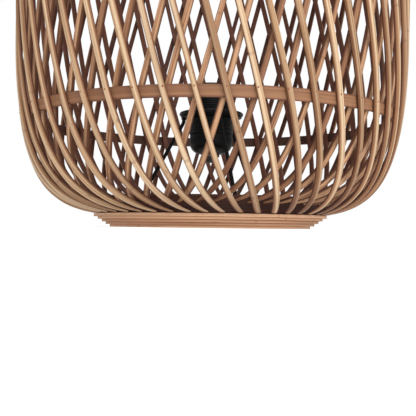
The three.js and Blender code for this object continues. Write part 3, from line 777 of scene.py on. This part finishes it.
# ------------------------------------------------------------------------------ fitter
# A steel ring on the lowest lap, three rods and a hub plate carry the lamp holder. They are
# welded and powder coated matt black.
def turned_ring(name, outline, material, sides=72, shape=None):
    """A closed outline of radii and heights turned about the axis; shape(radius, height,
    azimuth) may change the radii, for a thread, a knurl or a hexagon."""
    azimuth = 2 * pi * np.arange(sides)[:, None] / sides
    radius, height = outline[:, 0] + 0 * azimuth, outline[:, 1] + 0 * azimuth
    if shape is not None:
        radius = shape(radius, height, azimuth)
    points = np.stack([radius * np.sin(azimuth), -radius * np.cos(azimuth), height], -1)
    index = np.arange(points[..., 0].size).reshape(points.shape[:2])
    beside, ahead = np.roll(index, -1, axis=1), np.roll(index, -1, axis=0)
    quads = np.stack([index, beside, np.roll(beside, -1, axis=0), ahead], -1).reshape(-1, 4)
    return new_piece(name, points.reshape(-1, 3), [quads], material)


COATING = colour(14, 13, 13)
RUBBED_COATING = colour(24, 22, 21)
black_steel = metal("black_powder_coat", COATING, RUBBED_COATING, 0.42, 0.0, 1800, 0.00006, 0.12)

HUB_WIDTH = 0.00885
FOOT_RING_WIDTH = 0.0076
PLATE_EDGE = 0.0004
hub_low, hub_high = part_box("fitter_hub")
foot_low, foot_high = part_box("fitter_foot_ring")
for name, node, (low, high), width in (
    ("hub_plate", "fitter_hub", (hub_low, hub_high), HUB_WIDTH),
    ("foot_ring_plate", "fitter_foot_ring", (foot_low, foot_high), FOOT_RING_WIDTH),
):
    outline = ring_outline(high.x - width, high.x, low.z, high.z, PLATE_EDGE)
    piece = turned_ring(name, outline, black_steel, 120)
    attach(piece, "shade")
    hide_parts(node)

ARM_COUNT = 3
ARM_AZIMUTH = radians(18)
ARM_RADIUS = 0.0017
ARM_BEND = 0.005
ARM_SIDES = 20
WELD_REACH = 0.0016
WELD_HEIGHT = 0.0011
for arm in range(ARM_COUNT):
    azimuth = ARM_AZIMUTH + arm * 2 * pi / ARM_COUNT
    radial = np.array([sin(azimuth), -cos(azimuth), 0])
    sideways = np.array([cos(azimuth), sin(azimuth), 0])
    head = hub_high.x - ARM_RADIUS - SEAT_GAP
    foot = foot_high.x - FOOT_RING_WIDTH + ARM_RADIUS + SEAT_GAP
    upright = 2 * ARM_RADIUS
    under_hub, over_foot = hub_low.z - SEAT_GAP, foot_high.z + SEAT_GAP
    route = np.array(
        [
            (head, under_hub),
            (head, under_hub - upright),
            (foot, over_foot + upright),
            (foot, over_foot),
        ]
    )
    bends = rounded(route, ARM_BEND, 9)[9:-9]
    flat = np.concatenate([[route[0]], bends, [route[-1]]])
    length = np.concatenate([[0], np.cumsum(np.linalg.norm(np.diff(flat, axis=0), axis=1))])
    ends = WELD_REACH * np.array([0, 0.25, 0.5, 0.75, 1, 1.5])
    along = np.unique(np.concatenate([ends, length, length[-1] - ends]))
    flat = np.stack([np.interp(along, length, flat[:, 0]), np.interp(along, length, flat[:, 1])], -1)
    centre = flat[:, :1] * radial + flat[:, 1:] * np.array([0, 0, 1])
    tangent = np.gradient(flat, axis=0)
    tangent /= np.linalg.norm(tangent, axis=1, keepdims=True)
    normal = tangent[:, 1:] * radial - tangent[:, :1] * np.array([0, 0, 1])
    from_end = np.minimum(along, along[-1] - along)
    size = ARM_RADIUS + WELD_HEIGHT * (1 - (from_end / WELD_REACH).clip(0, 1)) ** 2
    around = 2 * pi * np.arange(ARM_SIDES) / ARM_SIDES
    section = size[:, None, None] * np.stack([np.cos(around), np.sin(around)], -1)
    rings = swept(centre, np.broadcast_to(sideways, centre.shape), normal, section)
    points, faces = tubes(rings[None])
    piece = new_piece(f"arm_rod_{arm + 1}", points, faces, black_steel)
    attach(piece, "shade")
    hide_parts(f"fitter_arm_{arm + 1}")


# ------------------------------------------------------------------------------ foot screws
# Three zinc plated screws hold the foot ring on the ledge. Each has a low pan head with a
# cross recess, and a plain shank that ends in a point.
SHANK_RADIUS = 0.00125
HEAD_SIDE_SHARE = 0.3
SCREW_SIDES = 48
RECESS_DEPTH = 0.0009
RECESS_HALF_WIDTH = 0.00035
RECESS_REACH = 0.6
zinc = metal("zinc_plate", colour(176, 178, 182), colour(142, 144, 150), 0.3, 1.0, 900, 0.00002)
for screw in range(1, ARM_COUNT + 1):
    low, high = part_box(f"foot_screw_{screw}")
    middle = np.array([(low.x + high.x) / 2, (low.y + high.y) / 2, 0])
    head_radius = (high.x - low.x) / 2
    head_bottom = foot_high.z + SEAT_GAP
    head_height = high.z - head_bottom
    dome = np.linspace(0.06, 1, 14) * pi / 2
    shank = [
        (0.0001, low.z),
        (0.7 * SHANK_RADIUS, low.z + SHANK_RADIUS / 3),
        (SHANK_RADIUS, low.z + SHANK_RADIUS),
        (SHANK_RADIUS, head_bottom),
        (head_radius, head_bottom),
    ]
    crown = HEAD_SIDE_SHARE + (1 - HEAD_SIDE_SHARE) * np.sin(dome)
    head = np.stack([head_radius * np.cos(dome), head_bottom + head_height * crown], -1)
    radius, height = np.concatenate([shank, head]).T
    around = 2 * pi * np.arange(SCREW_SIDES) / SCREW_SIDES
    x, y = radius[:, None] * np.cos(around), radius[:, None] * np.sin(around)
    near_line = np.minimum(np.abs(x), np.abs(y))
    within = (near_line < RECESS_HALF_WIDTH) & (radius[:, None] < RECESS_REACH * head_radius)
    on_top = np.arange(len(radius))[:, None] >= len(shank)
    height = height[:, None] - RECESS_DEPTH * (within & on_top)
    rings = np.stack([x, y, height], -1) + middle
    points, faces = tubes(rings[None])
    piece = new_piece(f"pan_head_screw_{screw}", points, faces, zinc)
    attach(piece, "shade")
    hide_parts(f"foot_screw_{screw}")


# ------------------------------------------------------------------------------ holder sleeve
# The moulded black sleeve of the lamp holder: five finger ribs, a shoulder under the hub,
# and an outside thread up to its mouth for the clamp ring.
SKIRT_WALL = 0.002
THREAD_PITCH = 0.002
THREAD_DEPTH = 0.0004
THREAD_PLAY = 0.0004
RING_WIDTH = 0.01035
RIB_COUNT = 5
RIB_HEIGHT = 0.001
RIB_SLOPE = 0.0006
SHOULDER_HEIGHT = 0.0022


def plastic(name, tint, roughness, shine):
    """Moulded plastic: a satin surface with very fine texture and a trace of dust."""
    material, start, shader = new_material(name)
    place = start.node("TexCoord", {}, {}, "Object")
    fine = noise(place, (2600, 2600, 2600), 2.0)
    dust = ramp(noise(place, (160, 160, 60), 4.0, 0.65), 0.48, 0.8)
    join_up(mixed(dust, tint, times(tint, 0.9, 0.006)), shader["Base Color"])
    join_up(roughness + 0.1 * fine + 0.15 * dust, shader["Roughness"])
    bump = start.node("Bump", {}, {"Strength": 0.3, "Distance": 0.00004, "Height": fine})
    join_up(bump, shader["Normal"])
    shader["Specular IOR Level"].default_value = shine
    return material


def thread(crest, depth, pitch, bottom, top, run_out=0.0015):
    """A function that cuts a screw thread: where the radius is at the crest and the height
    between bottom and top, it is lessened by a triangle wave that turns with the azimuth."""

    def cut(radius, height, azimuth):
        phase = (height / pitch - azimuth / (2 * pi)) % 1.0
        wave = np.clip(1.6 * np.abs(2 * phase - 1) - 0.3, 0, 1)
        fade = np.clip(np.minimum(height - bottom, top - height) / run_out, 0, 1)
        return radius - depth * wave * fade * (np.abs(radius - crest) < 1e-6)

    return cut


def mouth_corners(outer, inner, low, high, edge):
    """The two rounded corners of a tube's mouth, from its outside over to its bore."""
    return rounded([(outer, low), (outer, high), (inner, high), (inner, low)], edge)[4:12]


black_plastic = plastic("black_moulding", colour(11, 10, 10), 0.34, 0.16)
skirt_low, skirt_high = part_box("holder_skirt")
ring_low, ring_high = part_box("clamp_ring")
skirt_radius = ring_high.x - RING_WIDTH - THREAD_PLAY
shoulder_radius = skirt_high.x
body_radius = skirt_radius + RIB_HEIGHT
bore = skirt_radius - SKIRT_WALL
shoulder_top = hub_low.z - SEAT_GAP
shoulder_bottom = shoulder_top - SHOULDER_HEIGHT
rib_pitch = (shoulder_bottom - skirt_low.z) / RIB_COUNT
one_rib = np.array(
    [
        (body_radius - RIB_HEIGHT / 2, 0),
        (body_radius, RIB_SLOPE),
        (body_radius, rib_pitch - RIB_SLOPE),
    ]
)
ribs = [one_rib + (0, skirt_low.z + rib * rib_pitch) for rib in range(RIB_COUNT)]
shoulder = [(shoulder_radius, shoulder_bottom), (shoulder_radius, shoulder_top)]
lower_outline = rounded(np.concatenate([[(bore, skirt_low.z)], *ribs, shoulder]), 0.0003)[4:]
rows = np.arange(shoulder_top + 0.0001, skirt_high.z - 0.0004, THREAD_PITCH / 9)
threaded = np.stack([np.full(len(rows), skirt_radius), rows], -1)
mouth = mouth_corners(skirt_radius, bore, rows[-1], skirt_high.z, 0.0004)
foot = [(bore, skirt_low.z + 0.001), (bore, skirt_low.z)]
outline = np.concatenate([lower_outline, threaded, mouth, foot])
piece = turned_ring(
    "threaded_sleeve",
    outline,
    black_plastic,
    96,
    thread(skirt_radius, THREAD_DEPTH, THREAD_PITCH, ring_low.z, skirt_high.z - 0.001),
)
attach(piece, "shade")
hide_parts("holder_skirt")


# ------------------------------------------------------------------------------ holder cap
# The bell under the sleeve closes the wiring space. It is moulded in the same black plastic,
# with a hole in its end for the threaded nipple.
CAP_WALL = 0.0022
CAP_END_RADIUS = 0.01
CAP_HOLE_RADIUS = 0.0054
CAP_LIP = 0.004
cap_low, cap_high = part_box("holder_cap")
top = cap_high.x
bend = top - CAP_END_RADIUS
quarter = np.linspace(0, pi / 2, 12)
quarter_arc = np.stack([np.sin(quarter), 1 - np.cos(quarter)], -1)
bell = (CAP_END_RADIUS, cap_low.z) + bend * quarter_arc
inside = (CAP_END_RADIUS, cap_low.z + CAP_WALL) + (bend - CAP_WALL) * quarter_arc
lip = cap_high.z - CAP_LIP
mouth = mouth_corners(top, top - CAP_WALL, lip, cap_high.z, 0.0005)
hole = [(CAP_HOLE_RADIUS, cap_low.z), (CAP_HOLE_RADIUS, cap_low.z + CAP_WALL)]
outline = np.concatenate([hole[:1], bell, mouth, inside[::-1], hole[1:]])
piece = turned_ring("bell_cap", outline, black_plastic, 96)
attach(piece, "shade")
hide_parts("holder_cap")


# ------------------------------------------------------------------------------ clamp ring
# A moulded ring that screws down the sleeve and grips the hub plate. Its rim is scalloped
# for the fingers. It is the one piece that travels.
SCALLOPS = 30
SCALLOP_DEPTH = 0.0003
ring_outer = ring_high.x
ring_inner = ring_outer - RING_WIDTH
edge = (ring_high.z - ring_low.z) / 3
outline = rounded(
    [
        (ring_inner, ring_low.z),
        (ring_outer - edge, ring_low.z),
        (ring_outer, ring_low.z + edge),
        (ring_outer, ring_high.z - edge),
        (ring_outer - edge, ring_high.z),
        (ring_inner, ring_high.z),
    ],
    0.0006,
    5,
)


def scalloped(radius, height, azimuth):
    """Shallow hollows round the rim: the outer third shrinks with a raised cosine."""
    share = np.clip((radius - ring_outer + edge) / edge, 0, 1)
    return radius - SCALLOP_DEPTH * share * (0.5 + 0.5 * np.cos(SCALLOPS * azimuth)) ** 2


piece = turned_ring("scalloped_clamp_ring", outline, black_plastic, 240, scalloped)
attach(piece, "ring")
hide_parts("clamp_ring")


# ------------------------------------------------------------------------------ contacts
# Inside the sleeve a white block carries the rolled brass shell, which takes the bulb's
# thread, and the sprung brass tongue that touches its end.
BULB_PITCH = 0.0036
SHELL_WAVE = 0.0008
SHELL_WALL = 0.0006
SHELL_ROWS = 70
BLOCK_BORE_RADIUS = 0.0035
TONGUE_TAPER = 0.35
white_plastic = plastic("white_block", colour(214, 210, 200), 0.4, 0.4)
brass = metal("brass", colour(190, 150, 84), colour(150, 112, 62), 0.26, 1.0, 700, 0.00002)

low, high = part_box("contact_block")
outline = ring_outline(BLOCK_BORE_RADIUS, high.x, low.z, high.z, 0.0008)
piece = turned_ring("insulating_block", outline, white_plastic, 72)
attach(piece, "shade")
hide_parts("contact_block")

low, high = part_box("bulb_shell")
rows = np.linspace(low.z, high.z, SHELL_ROWS)
outside = np.stack([np.full(SHELL_ROWS, high.x), rows], -1)
outline = np.concatenate([outside, outside[::-1] - (SHELL_WALL, 0)])


def rolled(radius, height, azimuth):
    """The rolled thread: both faces swing in and out as a sine that climbs one pitch a turn,
    and fades to a plain tube at the ends."""
    fade = np.clip(np.minimum(height - low.z, high.z - height) / 0.002, 0, 1)
    return radius + SHELL_WAVE * fade * np.sin(2 * pi * height / BULB_PITCH - azimuth)


piece = turned_ring("rolled_shell", outline, brass, 96, rolled)
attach(piece, "shade")
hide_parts("bulb_shell")

low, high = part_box("centre_contact")
half_width = (high.y - low.y) / 2
rise = high.z - low.z - SHELL_WALL
run = np.linspace(0, 1, 28)
bend = np.clip((run - 0.36) / 0.4, 0, 1)
lift = bend * bend * (3 - 2 * bend) - 0.22 * np.clip((run - 0.8) / 0.2, 0, 1) ** 2
half = SHELL_WALL / 2
centre = np.stack([low.x + run * (high.x - low.x), 0 * run, low.z + half + lift * rise], -1)
tangent = np.gradient(centre, axis=0)
tangent /= np.linalg.norm(tangent, axis=1, keepdims=True)
sideways = np.broadcast_to(np.array([0.0, 1.0, 0.0]), centre.shape)
normal = np.cross(tangent, sideways)
flat_bar = ring_outline(-half_width, half_width, -half, half, 0.0002)
taper = (1 - TONGUE_TAPER * run**2)[:, None, None] * np.array([1, 0]) + np.array([0, 1])
rings = swept(centre, sideways, normal, flat_bar * taper)
points, faces = tubes(rings[None])
piece = new_piece("contact_tongue", points, faces, brass)
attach(piece, "shade")
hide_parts("centre_contact")


# ------------------------------------------------------------------------------ nipple and locknut
# A steel tube with an outside thread hangs the cap on the lamp's stem, and a hexagon nut
# locks it. Both are zinc plated and have gone dull.
NIPPLE_BORE = 0.007
NIPPLE_PITCH = 0.001
NIPPLE_THREAD_DEPTH = 0.0004
NIPPLE_ROWS = 160
NUT_BORE_RADIUS = 0.0054
ACROSS_FLATS = 0.014
low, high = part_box("nipple")
rows = np.linspace(low.z, high.z, NIPPLE_ROWS)
crest = high.x
bore = NIPPLE_BORE / 2
crests = np.stack([np.full(NIPPLE_ROWS, crest), rows], -1)
outline = np.concatenate([crests, [(bore, high.z), (bore, (low.z + high.z) / 2), (bore, low.z)]])
dull_zinc = metal("dull_zinc", colour(92, 90, 88), colour(60, 58, 57), 0.4, 1.0, 900, 0.00002)
fine_thread = thread(crest, NIPPLE_THREAD_DEPTH, NIPPLE_PITCH, low.z, high.z, 0.0005)
piece = turned_ring("threaded_nipple", outline, dull_zinc, 40, fine_thread)
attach(piece, "shade")
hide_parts("nipple")

low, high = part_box("locknut")
corner = ACROSS_FLATS / sqrt(3)
outline = ring_outline(NUT_BORE_RADIUS, corner, low.z, high.z, 0.0005, 5)


def hexagon(radius, height, azimuth):
    """Flats at half the width across them over the cosine from each flat's middle, with the
    corners cut by the turned outline."""
    from_flat = (azimuth + pi / 6) % (pi / 3) - pi / 6
    flat = ACROSS_FLATS / 2 / np.cos(from_flat)
    drop = (corner - radius) * 0.5
    outside = radius > ACROSS_FLATS / 2 - 0.001
    return np.where(outside, np.minimum(flat - 0.3 * drop, radius), radius)


piece = turned_ring("hexagon_nut", outline, dull_zinc, 144, hexagon)
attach(piece, "shade")
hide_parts("locknut")


# ------------------------------------------------------------------------------ studio
# A pale matt floor and an even white surround, with one large soft light in front and one
# above. The surround is seen as white, and lights the shade less than it shows.
FLOOR_HALF = 2.0
FLOOR_GREY = (0.5, 0.5, 0.5, 1)
FLOOR_GLOW = 0.69
SURROUND_SEEN = 1.0
SURROUND_LIGHT = 0.62
WHITE = (1, 1, 1, 1)

floor_material, start, shader = new_material("pale_floor")
shader["Base Color"].default_value = FLOOR_GREY
shader["Roughness"].default_value = 0.9
shader["Emission Color"].default_value = WHITE
shader["Emission Strength"].default_value = FLOOR_GLOW
shader["Specular IOR Level"].default_value = 0.0
floor_mesh = bpy.data.meshes.new("floor")
floor_corners = [(x * FLOOR_HALF, y * FLOOR_HALF, 0) for x, y in ((-1, -1), (1, -1), (1, 1), (-1, 1))]
floor_mesh.from_pydata(floor_corners, [], [(0, 1, 2, 3)])
floor_mesh.materials.append(floor_material)
floor = bpy.data.objects.new("floor", floor_mesh)
scene.collection.objects.link(floor)

world = bpy.data.worlds.new("surround")
scene.world = world
world.use_nodes = True
background = world.node_tree.nodes["Background"]
start = Wire(world.node_tree)
seen = start.node("LightPath", {}, {}, "Is Camera Ray")
strength = SURROUND_LIGHT + (SURROUND_SEEN - SURROUND_LIGHT) * seen
background.inputs["Color"].default_value = WHITE
world.node_tree.links.new(strength.socket, background.inputs["Strength"])


def soft_light(name, place, size, power):
    """A square area light that faces the middle of the shade's lower half."""
    light = bpy.data.lights.new(name, "AREA")
    light.size = size
    light.energy = power
    lamp = bpy.data.objects.new(name, light)
    scene.collection.objects.link(lamp)
    aim = Vector((0, 0, MID_HEIGHT / 2)) - Vector(place)
    lamp.location = place
    lamp.rotation_euler = aim.to_track_quat("-Z", "Y").to_euler()


soft_light("front_light", (0.75, -2.1, 0.75), 1.8, 36)
soft_light("top_light", (0.2, -0.6, 2.4), 1.6, 28)
